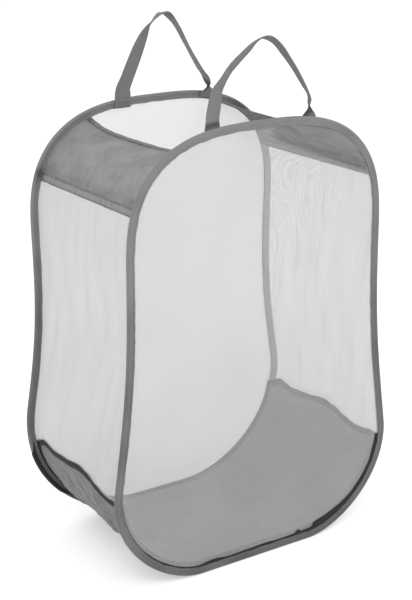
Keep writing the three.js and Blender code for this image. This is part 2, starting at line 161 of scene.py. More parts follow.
# %% A board to lay a material's nodes on
class Board:
    """One material: its nodes, its Principled shader and the piece's UV map in millimetres. Its
    sockets are named in small letters with underscores, so base_color is "Base Color"."""

    def __init__(self, name, **constants):
        self.material = bpy.data.materials.new(name)
        self.material.use_nodes = True
        self.tree = self.material.node_tree
        self.shader = self.tree.nodes["Principled BSDF"]
        self.fill_shader(constants)

    def fill(self, socket, value):
        """Gives a socket a value, or a link from a sum or from another node's socket."""
        value = value.socket if isinstance(value, Sum) else value
        if isinstance(value, bpy.types.NodeSocket):
            self.tree.links.new(value, socket)
        else:
            socket.default_value = value

    def fill_shader(self, values):
        for name, value in values.items():
            self.fill(self.shader.inputs[name.replace("_", " ").title()], value)

    def make(self, kind, settings={}, sockets={}):
        """Adds a node of a type, sets its settings, then its sockets to values or links."""
        node = self.tree.nodes.new(kind)
        for key, value in settings.items():
            setattr(node, key, value)
        for key, value in sockets.items():
            self.fill(node.inputs[key], value)
        return node

    def uv(self):
        """The two numbers of the piece's own UV map, turned from metres into millimetres."""
        place = self.make("ShaderNodeUVMap", {"uv_map": "UV"}).outputs[0]
        split = self.make("ShaderNodeSeparateXYZ", {}, {0: place})
        return [1000 * Sum(self, split.outputs[i]) for i in (0, 1)]

    def attribute(self, name):
        """A number that the mesh keeps at each point."""
        return Sum(self, self.make("ShaderNodeAttribute", {"attribute_name": name}).outputs["Fac"])

    def noise(self, scale, detail=2.0, stretch=(1, 1, 1)):
        """Noise from 0 to 1 on the object's own coordinates, scale in lumps per metre."""
        place = self.make("ShaderNodeTexCoord").outputs["Object"]
        place = self.make("ShaderNodeMapping", {}, {0: place, "Scale": stretch}).outputs[0]
        node = self.make("ShaderNodeTexNoise", {}, {0: place, "Scale": scale, "Detail": detail})
        return Sum(self, node.outputs[0])

    def dimmed(self, colour):
        """The colour, darkened by the mesh's own number "dim": painted shade, and a faint uneven
        tone.
        """
        return self.colours(self.attribute("dim"), colour, grey(10))

    def colours(self, share, first, second):
        """A colour between two, by a share from 0 to 1."""
        node = self.make("ShaderNodeMix", {"data_type": "RGBA"}, {0: share, 6: first, 7: second})
        return node.outputs[2]

    def finish(self, colour, height=None, depth=0.0, **sums):
        """Links the colour, a bump of that depth in millimetres, and what else varies."""
        if height is not None:
            bump = self.make("ShaderNodeBump", {}, {"Height": height, "Distance": depth * MM})
            sums["normal"] = bump.outputs[0]
        self.fill_shader({"base_color": colour, **sums})
        return self.material


def grey(value):
    """A neutral colour from its value on a screen, 0 to 255, as light that adds up."""
    share = value / 255
    light = ((share + 0.055) / 1.055) ** 2.4 if share > 0.04 else share / 12.92
    return light, light, light, 1


def weave(u, v, pitch):
    """A plain weave's height: warp and weft are rows of half waves, and the sign of their product
    says which of the two lies on top. It is 0 between threads and 1 on top of one."""
    warp, weft = (u * (math.pi / pitch)).sin(), (v * (math.pi / pitch)).sin()
    over = warp * weft
    return (warp.abs() * (0.62 + 0.38 * over)).most(weft.abs() * (0.62 - 0.38 * over))


# %% [markdown]
# ## The finishes
#
# - The net is white. Its holes are holes in the alpha, because what shows through them changes
#   with every view. Two families of threads cross in diamonds. The back net's are turned by an
#   eighth of a circle, because two parallel nets in a row show ripples of moire.
# - The shoulders and the base are grey oxford cloth, a plain weave with a slight sheen. The base's
#   copy is in darker greys: painted shade.
# - The hoops' tapes are a ribbed grey tape, and the base's edges are bound in black tape.
# - The handles are coarse grey webbing.

# %% Net
def net_finish(name, pitch, turn):
    """Threads run along the two diagonals of the UV map, turned by an angle. A thread is where the
    distance to the nearest diagonal line, in pitches, is under half its width; gathers make the
    threads wider. The threads are clear nylon, so they let a little light through, and fine fluff
    dims the holes."""
    board = Board(name, roughness=0.7, sheen_weight=0.1)
    across, up = board.uv()
    u = across * math.cos(turn) - up * math.sin(turn)
    v = across * math.sin(turn) + up * math.cos(turn)
    width, gathering, diagonal, soft = 0.16, 0.35, pitch * 1.414, 0.03
    sway = 0.1 * (v * (2 * math.pi / pitch)).sin()
    half = 0.5 * (width + gathering * board.attribute("gather"))
    one = ((u + v) / diagonal + sway).fold(0.5) - half
    two = ((u - v) / diagonal - sway).fold(0.5) - half
    hole = one.step(-soft, soft) * two.step(-soft, soft)
    tone = board.noise(9, 3.0)
    colour = board.colours(tone, grey(176), grey(188))
    height = 1 - one.abs().step(0, 0.2) * two.abs().step(0, 0.2)
    return board.finish(colour, height, 0.12, alpha=0.8 - 0.71 * hole)


# %% Cloth, tapes and webbing
def woven_finish(name, dark, light, pitch, depth, roughness, sheen=0.15):
    """A plain weave, light on top of its threads, with painted shade in the grooves between them
    and slow uneven fading.
    """
    board = Board(name, roughness=roughness, sheen_weight=sheen, sheen_roughness=0.4)
    u, v = board.uv()
    height = weave(u, v, pitch)
    fading = board.noise(14, 4.0)
    tops = board.colours(fading, grey(light), grey(light - 14))
    colour = board.colours(height * 0.8 + 0.2 * board.noise(900, 1.0), grey(dark), tops)
    roughness = roughness - 0.12 * height + 0.1 * fading
    return board.finish(board.dimmed(colour), height, depth, roughness=roughness)


def ribbed_finish(name, dark, light, rib, depth, roughness, sheen=0.2):
    """Ribs across a tape: waves along its length, each split into threads by a finer wave. The
    grooves between them are darker: painted shade.
    """
    board = Board(name, roughness=roughness, sheen_weight=sheen, sheen_roughness=0.5)
    u, v = board.uv()
    ribs = (u * (math.pi / rib)).sin().abs()
    threads = (v * (math.pi / (rib * 0.7)) + (u * (math.pi / rib)).sin()).sin().abs()
    height = 0.65 * ribs + 0.35 * threads
    wear = board.noise(30, 4.0)
    tops = board.colours(wear, grey(light), grey(light - 16))
    colour = board.dimmed(board.colours(height, grey(dark), tops))
    return board.finish(colour, height, depth, roughness=roughness - 0.1 * height + 0.08 * wear)


nets = {
    "front": net_finish("front_net_threads", 1.0, 0.0),
    "back": net_finish("back_net_threads", 1.1, math.pi / 4),
    "side": net_finish("side_net_threads", 1.13, 0.0),
}
oxford = woven_finish("grey_oxford", 98, 146, 0.55, 0.1, 0.72)
# The base's oxford is the same cloth in darker greys: painted shade, as the base sits low.
shaded_base_oxford = woven_finish("shaded_base_oxford", 78, 119, 0.55, 0.1, 0.75)
binding_tape = ribbed_finish("grey_tape", 84, 124, 0.8, 0.12, 0.8)
seam_tape_finish = ribbed_finish("seam_tape", 92, 134, 0.8, 0.12, 0.8)
black_tape = ribbed_finish("black_tape", 2, 14, 0.8, 0.12, 0.85, 0.02)
webbing = woven_finish("grey_webbing", 78, 130, 1.3, 0.35, 0.8, sheen=0.05)


# %% Thread, wire and floor
def thread_finish(name, dark, light):
    """Twisted thread: slanting stripes along each stitch, in two greys; the darker grey, in the
    grooves of the twist, is painted shade.
    """
    board = Board(name, roughness=0.55, sheen_weight=0.2)
    u, v = board.uv()
    twist = ((u + v * 0.5) * (2 * math.pi / 0.5)).sin() * 0.5 + 0.5
    return board.finish(board.colours(twist, grey(dark), grey(light)), twist, 0.05)


grey_thread = thread_finish("grey_thread", 70, 112)
dark_thread = thread_finish("dark_thread", 18, 42)


def steel_finish():
    """Drawn spring wire: bright metal with fine lines, a little duller here and there."""
    board = Board("spring_steel", metallic=1.0, base_color=grey(170))
    dull = board.noise(60, 4.0)
    lines = board.noise(1500, 1.0, (0.05, 1, 0.05))
    colour = board.colours(dull, grey(176), grey(150))
    return board.finish(colour, lines, 0.02, roughness=0.28 + 0.2 * dull)


def floor_finish():
    """Pale matt floor, with a trace of unevenness."""
    board = Board("pale_floor", roughness=0.9, emission_strength=0.4)
    return board.finish(board.colours(board.noise(3), (0.66, 0.66, 0.66, 1), (0.68, 0.68, 0.68, 1)))


steel = steel_finish()
floor.data.materials.append(floor_finish())
for name in ("front_hoop_wire", "back_hoop_wire", "front_wire_ferrule", "back_wire_ferrule"):
    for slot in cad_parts[name].material_slots:
        slot.material = steel
print("finishes:", sorted(m.name for m in bpy.data.materials if m.users))

# %% [markdown]
# ## The outline of a hoop
#
# The cloth pulls the round wire into a tall shape: a flat stretch on the floor, round bottom
# corners, slightly drawn-in sides and squarer top corners. A corner is a superellipse, whose
# power says how square it is: 2 is an ellipse. The two hoops differ a little, so the strip between
# them is a straight mix of the two outlines at equal shares of their lengths.

# %% Outline
HOOP_HEIGHT, LOW_HALF, HIGH_HALF = 606.0, 240.0, 195.0
TOP_CORNER, TOP_POWER = 167.0, 2.95
HALF_DEPTH, WIRE_LEVEL = 120.0, 3.1


def smooth(t):
    """Rises from 0 to 1 with level ends: 3t² - 2t³."""
    t = np.clip(t, 0, 1)
    return t * t * (3 - 2 * t)


def hump(distance, width):
    """A bell curve: 1 at distance 0, and exp(-(distance / width)²) elsewhere."""
    return np.exp(-((distance / width) ** 2))


def half_outline(flat, corner, power, waist, count=500):
    """Half a hoop from bottom to top. The bottom corner is x = flat + (width - flat) sin(t)^(2/p)
    and z = corner (1 - cos(t)^(2/p)); the top corner uses cos and sin the same way. Then the sides
    are drawn in by waist times a squared sine of the height."""
    width = lambda z: LOW_HALF + (HIGH_HALF - LOW_HALF) * z / HOOP_HEIGHT
    share = np.linspace(0, 1, count, endpoint=False)
    turn = share * np.pi / 2
    low = corner * (1 - np.cos(turn) ** (2 / power))
    shoulder = HOOP_HEIGHT - TOP_CORNER
    side = corner + (shoulder - corner) * share
    last = np.linspace(0, np.pi / 2, count)
    high = shoulder + TOP_CORNER * np.sin(last) ** (2 / TOP_POWER)
    x = np.concatenate([
        flat * share,
        flat + (width(low) - flat) * np.sin(turn) ** (2 / power),
        width(side),
        width(high) * np.clip(np.cos(last), 0, 1) ** (2 / TOP_POWER),
    ])
    z = np.concatenate([np.zeros(count), low, side, high])
    level = np.clip((z / HOOP_HEIGHT - 0.1) / 0.8, 0, 1)
    x = x - waist * np.sin(np.pi * level) ** 2 * x / width(z)
    run = np.concatenate([[0], np.cumsum(np.hypot(np.diff(x), np.diff(z)))])
    even = np.linspace(0, run[-1], 1500)
    x, z = np.interp(even, run, x), np.interp(even, run, z)
    out_x, out_z = np.gradient(z), -np.gradient(x)
    out_x[0] = out_x[-1] = 0
    length = np.hypot(out_x, out_z)
    return {"x": x, "z": z, "out_x": out_x / length, "out_z": out_z / length, "run": even}


front_half = half_outline(93.0, 144.0, 1.74, 11.0)
back_half = half_outline(46.0, 190.0, 1.85, 16.0)
HALF_LENGTH = front_half["run"][-1]
print("wire lengths, mm:", round(2 * HALF_LENGTH), round(2 * back_half["run"][-1]))

# %% Places on the strip
BASE_RISE, SHOULDER_DROP, MOUTH_HALF = 128.0, 87.0, 112.0
run_at_height = lambda z: np.interp(z, front_half["z"], front_half["run"])
LOWER_SEAM = run_at_height(BASE_RISE)
UPPER_SEAM = run_at_height(HOOP_HEIGHT - SHOULDER_DROP)
top_part = front_half["z"] > HOOP_HEIGHT - TOP_CORNER
MOUTH_EDGE = np.interp(-MOUTH_HALF, -front_half["x"][top_part], front_half["run"][top_part])
FLAT_END = 93.0


def place(run, y, inset):
    """A point at a signed run, a depth y and an inset from the wire: each hoop's outline point
    less inset times its outward direction, mixed by how far y is from the front to the back. The
    three are numbers or arrays, and spread over one grid."""
    run, y, inset = np.broadcast_arrays(*(np.asarray(a, float) for a in (run, y, inset)))
    share = np.abs(run) / HALF_LENGTH
    pairs = []
    for half in (front_half, back_half):
        at = share * half["run"][-1]
        keys = ("x", "z", "out_x", "out_z")
        x, z, out_x, out_z = (np.interp(at, half["run"], half[key]) for key in keys)
        pairs.append((x - out_x * inset, z - out_z * inset))
    across = np.clip((y + HALF_DEPTH) / (2 * HALF_DEPTH), 0, 1)
    x = pairs[0][0] * (1 - across) + pairs[1][0] * across
    z = pairs[0][1] * (1 - across) + pairs[1][1] * across
    return np.stack([np.where(run < 0, -x, x), y, WIRE_LEVEL + z], -1)


def along(table, at):
    """A value between the knots of a table of (place, value), eased at each knot."""
    knots = np.asarray(table, float)
    i = np.clip(np.searchsorted(knots[:, 0], at, "right") - 1, 0, len(knots) - 2)
    t = smooth((at - knots[i, 0]) / (knots[i + 1, 0] - knots[i, 0]))
    return knots[i, 1] * (1 - t) + knots[i + 1, 1] * t


print("seams at runs, mm:", [round(float(v)) for v in (LOWER_SEAM, UPPER_SEAM, MOUTH_EDGE)])

# %% [markdown]
# ## How the cloth hangs
#
# The strip is held at both hoops and hangs free between them. It sags at the mouth, is drawn in at
# the sides, and the lower seam wanders up and down where the cloth has been pulled. On top of that
# lie soft folds, and sharp creases from being folded flat: each crease is a long thin hump.

# %% Sag, folds and creases
CLOTH_START = 2.45
# The lower seam's wandering by share of the depth, and the side's sag by run.
SEAM_WAVE = [
    (0, 0), (0.19, -4), (0.3, 2), (0.38, 9), (0.47, 12), (0.65, 5), (0.78, 2), (0.9, 7), (1, -4),
]
SAG = [(LOWER_SEAM, 0), ((LOWER_SEAM + UPPER_SEAM) / 2, 6), (UPPER_SEAM, 0), (UPPER_SEAM + 1, 0)]


def depth_share(y):
    """0 at the front hoop's tape and 1 at the back hoop's."""
    return np.clip((y + HALF_DEPTH - CLOTH_START) / (2 * HALF_DEPTH - 2 * CLOTH_START), 0, 1)


def seam_run(side, run, y):
    """The run of a point of a seam, moved by the lower seam's wandering. The right shoulder's seam
    sits higher, by 10 in front and by 7 behind. Both moves fade out away from their seam."""
    share = depth_share(y)
    near = 1 - smooth(np.abs(run - LOWER_SEAM) / 55)
    higher = np.where(side > 0, 10 - 3 * share, 0) * (1 - smooth(np.abs(run - UPPER_SEAM) / 60))
    return side * (run + along(SEAM_WAVE, share) * near + higher)


def cloth(run, y, inset, extra=0):
    """A point of the hanging strip. Its inset grows by the side's sag and by two slanting folds,
    faded out towards the hoops by 1 - |2s - 1|^4, where s is the share of the depth. The mouth
    sags by 14 with the same fourth power on the left, and by 4 with a square on the right."""
    run, y = np.broadcast_arrays(np.asarray(run, float), np.asarray(y, float))
    size, share = np.abs(run), depth_share(y)
    middle = np.abs(2 * share - 1)
    mouth = np.where(run < 0, 14 * (1 - middle**4), 4 * (1 - middle**2))
    mouth = mouth * smooth((size - UPPER_SEAM) / (MOUTH_EDGE - UPPER_SEAM))
    height = np.clip((size - LOWER_SEAM) / (UPPER_SEAM - LOWER_SEAM), 0, 1)
    fold = 2 * np.sin(2 * np.pi * (2 * share + 0.7 * height)) * np.sin(np.pi * height) ** 2
    depth = inset + mouth + (along(SAG, size) + fold + extra) * (1 - middle**4)
    return place(seam_run(np.where(run < 0, -1, 1), size, y), y, depth)


def ripple(a, b, seed, length, stretch=1.0, count=9):
    """Soft unevenness: a seeded sum of sine waves in all directions, about 1 high, whose lengths
    lie between half and twice the given one; stretch makes them longer along b."""
    rng = np.random.default_rng(seed)
    total = 0
    for _ in range(count):
        turn, phase = rng.uniform(0, np.pi), rng.uniform(0, 2 * np.pi)
        wave = 2 * np.pi / (length * rng.uniform(0.5, 2))
        total = total + np.sin(wave * (a * np.cos(turn) + b * np.sin(turn) / stretch) + phase)
    return total / math.sqrt(count / 2)


def creases(a, b, table):
    """A sum of thin humps. Each row is the two ends of a crease, its width and its height. The
    hump's distance is that to the line between the ends."""
    total = 0
    for a0, b0, a1, b1, width, height in table:
        da, db = a1 - a0, b1 - b0
        t = np.clip(((a - a0) * da + (b - b0) * db) / (da * da + db * db), 0, 1)
        d = np.hypot(a - a0 - t * da, b - b0 - t * db)
        total = total + height * hump(d, width) * np.sin(np.pi * np.clip(t, 0.08, 0.92))
    return total


# %% [markdown]
# ## From a grid of points to a mesh
#
# A surface is a grid of points, rows by columns. The mesh joins each point to its neighbours with
# four-sided faces. A closed direction joins its last points to its first ones. The faces must point
# away from the inside, so the grid is turned over if its normals point the other way. Solidify
# gives cloth its thickness.

# %% Grids to meshes
def grid_faces(rows, columns, wrap_rows=False, wrap_columns=False):
    """Corner numbers of every face, and the same corners as rows and columns that don't wrap."""
    i, j = np.meshgrid(
        np.arange(rows if wrap_rows else rows - 1),
        np.arange(columns if wrap_columns else columns - 1),
        indexing="ij",
    )
    corners_i = np.stack([i, i + 1, i + 1, i], -1).reshape(-1, 4)
    corners_j = np.stack([j, j, j + 1, j + 1], -1).reshape(-1, 4)
    return (corners_i % rows) * columns + corners_j % columns, corners_i, corners_j


def inside_out(points, faces, middle):
    """Whether faces mostly point towards the inside; the cross of the diagonals is a normal."""
    a, b, c, d = (points[faces[:, k]] for k in range(4))
    return np.sum(np.cross(c - a, d - b) * (a - middle)) < 0


def line_lengths(points):
    """How far each point of a line lies from its start, along the line."""
    return np.concatenate([[0], np.cumsum(np.linalg.norm(np.diff(points, axis=0), axis=1))])


def new_object(name, points, faces, uvs, material, numbers={}):
    """An object from lists of arrays: points and UVs in millimetres, faces of four corners, and
    numbers that the mesh keeps at each point."""
    points, faces, uvs = np.concatenate(points), np.concatenate(faces), np.concatenate(uvs)
    mesh = bpy.data.meshes.new(name)
    mesh.vertices.add(len(points))
    mesh.vertices.foreach_set("co", (points * MM).astype(np.float32).ravel())
    mesh.loops.add(faces.size)
    mesh.loops.foreach_set("vertex_index", faces.astype(np.int32).ravel())
    mesh.polygons.add(len(faces))
    mesh.polygons.foreach_set("loop_start", np.arange(0, faces.size, 4, dtype=np.int32))
    mesh.update(calc_edges=True)
    mesh.polygons.foreach_set("use_smooth", np.ones(len(faces), bool))
    mesh.uv_layers.new(name="UV").data.foreach_set("uv", (uvs * MM).astype(np.float32).ravel())
    for key, values in numbers.items():
        data = mesh.attributes.new(key, "FLOAT", "POINT").data
        data.foreach_set("value", np.concatenate(values).astype(np.float32))
    mesh.materials.append(material)
    return in_scene(name, mesh)


def make_mesh(name, parts, material, thickness, offset=-1):
    """parts is a list of grids: points [rows, columns, 3], uv [rows (+ 1), columns, 2], the inside
    that faces turn away from, whether the rows close into a ring, and numbers for each point."""
    points, faces, uvs, numbers, start = [], [], [], {}, 0
    for one in parts:
        grid = one["points"]
        index, ci, cj = grid_faces(*grid.shape[:2], one["ring"])
        flat = grid.reshape(-1, 3)
        middle = np.broadcast_to(one["inside"], grid.shape).reshape(-1, 3)
        if inside_out(flat, index, middle[index[:, 0]]):
            index, ci, cj = index[:, ::-1], ci[:, ::-1], cj[:, ::-1]
        points.append(flat)
        faces.append(index + start)
        uvs.append(one["uv"][ci, cj].reshape(-1, 2))
        for key, values in one["numbers"].items():
            numbers.setdefault(key, []).append(np.broadcast_to(values, grid.shape[:2]).reshape(-1))
        start += len(flat)
    thing = new_object(name, points, faces, uvs, material, numbers)
    thing.data.validate()
    wall = thing.modifiers.new("thickness", "SOLIDIFY")
    wall.thickness, wall.offset, wall.use_even_offset = thickness * MM, offset, False
    print(f"{name}: {len(thing.data.vertices)} points, {len(thing.data.polygons)} faces")
    return thing


def path_lengths(grid, axis):
    """Distances along one direction of a grid of points, averaged over the other direction."""
    steps = np.linalg.norm(np.diff(grid, axis=axis), axis=-1)
    return np.concatenate([[0], np.cumsum(steps.mean(axis=1 - axis))])


def part(grid, inside=(0, 0, 305.0), ring=False, **numbers):
    """A grid with a UV map of real lengths along its rows and columns."""
    closed = np.concatenate([grid, grid[:1]], 0) if ring else grid
    u, v = path_lengths(closed, 0), path_lengths(closed, 1)
    uv = np.stack(np.meshgrid(u, v, indexing="ij"), -1)
    return {"points": grid, "uv": uv, "inside": inside, "ring": ring, "numbers": numbers}


# %% [markdown]
# ## Stitches
#
# A sewn line is a row of short stitches of thread, each a small spindle that dips into the cloth at
# both ends. One spindle is shaped once, and every stitch is a copy that is turned to the seam's own
# direction and to the cloth's normal.

# %% Rows of stitches
def stitches(lines, width):
    """Each line is points, normals and a stitch length. A spindle is rings of four corners whose
    size follows a half sine along the stitch; it lies along the seam and rises by a half sine."""
    grids = []
    for points, normals, length in lines:
        run = line_lengths(points)
        count = max(1, int(run[-1] // (length * 1.25)))
        centre = (np.arange(count) + 0.5) * run[-1] / count
        at = lambda values, s: np.stack([np.interp(s, run, values[:, k]) for k in range(3)], -1)
        here, up = at(points, centre), at(normals, centre)
        ahead = at(points, centre + 0.5) - at(points, centre - 0.5)
        ahead /= np.linalg.norm(ahead, axis=1, keepdims=True) + 1e-9
        up -= ahead * np.sum(up * ahead, 1, keepdims=True)
        up /= np.linalg.norm(up, axis=1, keepdims=True)
        side = np.cross(up, ahead)
        t = np.array([0, 0.18, 0.5, 0.82, 1])
        round_ = np.arange(4) * np.pi / 2
        bow = np.sin(np.pi * t)
        girth = width * (0.12 + 0.88 * np.sqrt(bow)) / 2
        a = (t - 0.5)[:, None] * length * np.ones(4)
        b = girth[:, None] * np.cos(round_)
        c = girth[:, None] * np.sin(round_) + (0.16 * bow - 0.08)[:, None]
        grid = (
            here[:, None, None]
            + a[..., None] * ahead[:, None, None]
            + b[..., None] * side[:, None, None]
            + c[..., None] * up[:, None, None]
        )
        uv = np.stack(np.meshgrid(t * length, np.arange(5) * width, indexing="ij"), -1)
        grids.append((grid, here, uv))
    return grids


def make_stitches(name, lines, material, width=0.45):
    """One mesh of all the stitches of a piece; its spindles are closed at both ends by a tip."""
    points, faces, uvs, start = [], [], [], 0
    for grid, here, uv in stitches(lines, width):
        count, rows, columns = grid.shape[:3]
        index, ci, cj = grid_faces(rows, columns, wrap_columns=True)
        caps = np.array([[3, 2, 1, 0], [rows * 4 - 4, rows * 4 - 3, rows * 4 - 2, rows * 4 - 1]])
        one = np.concatenate([index, caps])
        one_uv = np.concatenate([uv[ci, cj].reshape(-1, 2), np.zeros((8, 2))])
        flat = grid.reshape(count, -1, 3)
        if inside_out(flat[0], index, here[0]):
            one = one[:, ::-1]
            one_uv = one_uv.reshape(-1, 4, 2)[:, ::-1].reshape(-1, 2)
        step = rows * columns
        faces.append((one[None] + start + step * np.arange(count)[:, None, None]).reshape(-1, 4))
        uvs.append(np.tile(one_uv, (count, 1)))
        points.append(flat.reshape(-1, 3))
        start += count * step
    print(f"{name}: {start // step} stitches")
    return new_object(name, points, faces, uvs, material)


LEFT_BETWEEN = 40.0


def squash_along(*things, hoop="front", short=1.1):
    """The pieces of the strip ride on a hoop's frame, the front one unless told otherwise. The
    share that would be kept when 40 is left between the hoops' planes, short of the back one, and
    the back hoop's anchor a, which solves a - keep * a = 120 - keep * 120 - short, are worked out
    but not
    used: nothing flattens the pieces. The thickness is made part of the mesh first."""
    keep = (LEFT_BETWEEN - short) / (2 * HALF_DEPTH)
    anchor = {"front": -HALF_DEPTH, "back": HALF_DEPTH - short / (1 - keep)}[hoop]
    for thing in things:
        if thing.modifiers:
            ready = thing.evaluated_get(bpy.context.evaluated_depsgraph_get())
            thing.data = bpy.data.meshes.new_from_object(ready)
            thing.modifiers.clear()
        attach(thing, f"{hoop}_frame")
        anchor * MM
        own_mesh(thing)


# %% [markdown]
# ## The hoops' tapes
#
# A tape is folded round the wire and sewn shut inside it, so the hoop looks like a round cord with
# a flat fin. The section is an arc round the wire and two legs. The line of stitches pulls the legs
# together, and between stitches the edge stands out again in small scallops.

# %% Hoop bindings
HOOPS = {"front": -1, "back": 1}
REACH, ROUND = 8.0, 3.1
STITCH_INSET, STITCH_STEP = 5.4, 3.6
# Painted shade on the tape: how dark it is by height, darker low down, and at four spots of
# the back hoop that lie in shadow: x, z, radius and share.
DIM_LEVELS = [0, 10, 60, 150, 320, 430, 480, 612]
DIM_SHARES = [0.58, 0.55, 0.42, 0.34, 0.36, 0.08, 0, 0]
SPOTS = [(140, 580, 22, 0.45), (160, 565, 45, 0.25), (84, 606, 9, 0.6), (-189, 524, 8, 0.7)]


def binding(hoop, sign):
    """The section, in (sideways, inset): legs whose half width is pinched at the stitches, and an
    arc between them. Small waves along the run pucker it, and the edge waves with every stitch and
    with every second one."""
    run = np.linspace(-HALF_LENGTH, HALF_LENGTH, 720, endpoint=False)[:, None]
    pucker = 0.16 * ripple(run, 0, 11 + sign, 9, count=7)
    scallop = 0.22 * np.sin(np.pi * run / STITCH_STEP) + 0.3 * ripple(run, 0, 21 + sign, 16)
    leg = np.linspace(REACH, 3.4, 6)[None]
    open_ = np.arcsin(2.0 / ROUND)
    arc = np.linspace(open_, 2 * np.pi - open_, 17)[None]
    pinch = 2.1 - 0.35 * hump(leg - STITCH_INSET, 1.2)
    every = np.sin(2 * np.pi * run / STITCH_STEP)
    half = pinch + 0.06 * pucker + 0.1 * every * smooth((leg - 6) / 2)
    far = leg + scallop * smooth((leg - 6.2) / 1.8)
    radius = ROUND * (1 + 0.028 * pucker)
    side = np.concatenate([half, radius * np.sin(arc), -half[:, ::-1]], 1)
    inset = np.concatenate([far, radius * np.cos(arc), far[:, ::-1]], 1)
    y = sign * HALF_DEPTH
    points = place(run, y, inset)
    points[..., 1] = y + side
    # Painted shade: darker towards the bottom and at the shaded spots, with a faint uneven tone.
    dim = np.interp(points[..., 2], DIM_LEVELS, DIM_SHARES)
    dim = dim + 0.05 * ripple(run, 0, 25 + sign, 50)
    for x, z, size, share in SPOTS if sign > 0 else []:
        away = np.hypot(points[..., 0] - x, points[..., 2] - z)
        dim = dim + share * hump(away, size)
    tape = part(points, place(run, y, 0.0), True, dim=np.clip(dim, 0, 1))
    thing = make_mesh(f"{hoop}_binding_tape", [tape], binding_tape, 0.7)
    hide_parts(f"{hoop}_hoop_binding")
    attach(thing, f"{hoop}_frame")
    rows = []
    run = np.linspace(-HALF_LENGTH, HALF_LENGTH, 900)
    for face in (-1, 1):
        line = place(run, y, STITCH_INSET)
        line[:, 1] = y + face * 1.86
        rows.append((line, np.tile([0.0, face, 0.0], (len(run), 1)), 2.9))
    sewn = make_stitches(f"{hoop}_binding_stitches", rows, grey_thread)
    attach(sewn, f"{hoop}_frame")


for hoop, sign in HOOPS.items():
    binding(hoop, sign)

# %% [markdown]
# ## The net faces
#
# Each hoop carries a flat face of net. Its rows are chords of the outline, one at each height, so
# the grid follows the hoop's edge with no pinched middle. The net is stretched, but not quite
# evenly: it stands in or out by shallow ripples. Its threads crowd together near the tape.

# %% Net faces
def net_face(hoop, sign):
    """Rows are chords at even steps of the run; columns are shares from -1 to 1 of half a chord.
    The net stands a little in or out by ripples that fade to nothing at its edge. In front of the
    right shoulder, above the line z = 584 - 0.4 (x - 25), the front net's threads are thinner."""
    half = front_half if sign < 0 else back_half
    run = np.linspace(FLAT_END * 0.6, HALF_LENGTH * 0.985, 150)[:, None]
    share = np.sin(np.linspace(-1, 1, 91) * np.pi / 2)[None]
    edge = place(run, sign * HALF_DEPTH, 2.6)
    x = share * edge[..., 0]
    z = edge[..., 2] + 0 * x
    rim = np.minimum(1 - np.abs(share), 0.25) * 4
    rise = np.minimum((z - z.min()) / 40, 1) * np.minimum((z.max() - z) / 40, 1)
    soft = 0.8 * ripple(x, z, 31 + sign, 120, 1.6)
    y = sign * (HALF_DEPTH + 0.75) + sign * soft * rim * rise
    points = np.stack([x, y, z], -1)
    gather = 0.2 * (1 - smooth((1 - np.abs(share)) * 9)) + 0.05 * np.clip(soft, 0, 2)
    if sign < 0:
        from_seam = z - (584 - 0.4 * (x - 25))
        gather = gather - 0.42 * smooth((from_seam + 6) / 10) * smooth((x - 5) / 25)
    grid = part(points, gather=gather)
    grid["uv"] = points[..., [0, 2]]
    thing = make_mesh(f"{hoop}_net", [grid], nets[hoop], 0.15)
    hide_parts(f"{hoop}_mesh_panel")
    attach(thing, f"{hoop}_frame")


for hoop, sign in HOOPS.items():
    net_face(hoop, sign)

# %% [markdown]
# ## The strip between the hoops
#
# Shoulder, side net and base are sheets between the two hoops. At each hoop the cloth turns up into
# the folded tape, where it is sewn in. The creases were read off the picture: on the shoulders they
# run slantwise from the corners, and the side nets fall in long upright folds.

# %% Sheets of the strip
WEB_INSET, LIP_INNER = 8.3, 1.05
LIP_CORNER, LIP_LEVELS = 1.6, [-5.6, -3.2]
# Creases of a shoulder: both ends by height share in per cent and by depth, the width and height.
SHOULDER_CREASES = [
    (5, -100, 60, -60, 5, 1.5), (20, -20, 85, 40, 6, -1.6), (10, 60, 70, 105, 5, 1.2),
    (35, -90, 92, -20, 4, -1.1), (8, 10, 55, 75, 7, 1.4), (50, 20, 95, 95, 5, -1.0),
]


def lipped_columns(count, thickness):
    """Depths and insets across the strip: up out of the front tape, over a small round corner,
    along the web and back up into the back tape."""
    edge = HALF_DEPTH - LIP_INNER - thickness / 2
    turn = np.linspace(0, np.pi / 2, 5)
    web = np.linspace(-edge + 2 * LIP_CORNER, edge - 2 * LIP_CORNER, count)
    y = np.concatenate([[-edge, -edge], -edge + LIP_CORNER - LIP_CORNER * np.cos(turn), web])
    lift = np.concatenate([LIP_LEVELS, LIP_CORNER * (np.sin(turn) - 1), np.zeros(count)])
    return np.concatenate([y, -y[6::-1]]), np.concatenate([lift, lift[6::-1]])


def strip(name, side, start, end, rows, columns, inset, thickness, material, extra, **numbers):
    """A sheet from one run to another on one side. extra(run, y) adds creases to its inset, and
    every other number is a function of run and depth too."""
    y, lift = lipped_columns(columns, thickness)
    run = np.linspace(start, end, rows)[:, None]
    points = cloth(side * run, y, inset + lift, extra(run, y))
    values = {key: number(run, y) for key, number in numbers.items()}
    return make_mesh(name, [part(points, **values)], material, thickness), points


def sew_in(thing, node, short=1.1):
    """What all sheets of the strip share: both ends are held in the hoops' tapes."""
    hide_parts(node)
    squash_along(thing, short=short)


def upright_folds(side):
    """Long folds of the side net: waves across the depth, sharper than a sine, that wander with
    height and are strongest half way up."""
    def extra(run, y):
        height = np.clip((run - LOWER_SEAM) / (UPPER_SEAM - LOWER_SEAM), 0, 1)
        lean = 14 * np.sin(2.1 * np.pi * height + side)
        wave = np.sin(2 * np.pi * (y + lean) / 46 + 0.6 * side)
        swell = np.sin(np.pi * height) ** 0.8
        fine = ripple(y, run, 51 + side, 24, 8) * 0.5 + 0.7 * ripple(y, run, 61 + side, 60, 2.5)
        return (1.5 * np.sign(wave) * np.abs(wave) ** 0.7 + fine) * swell
    return extra


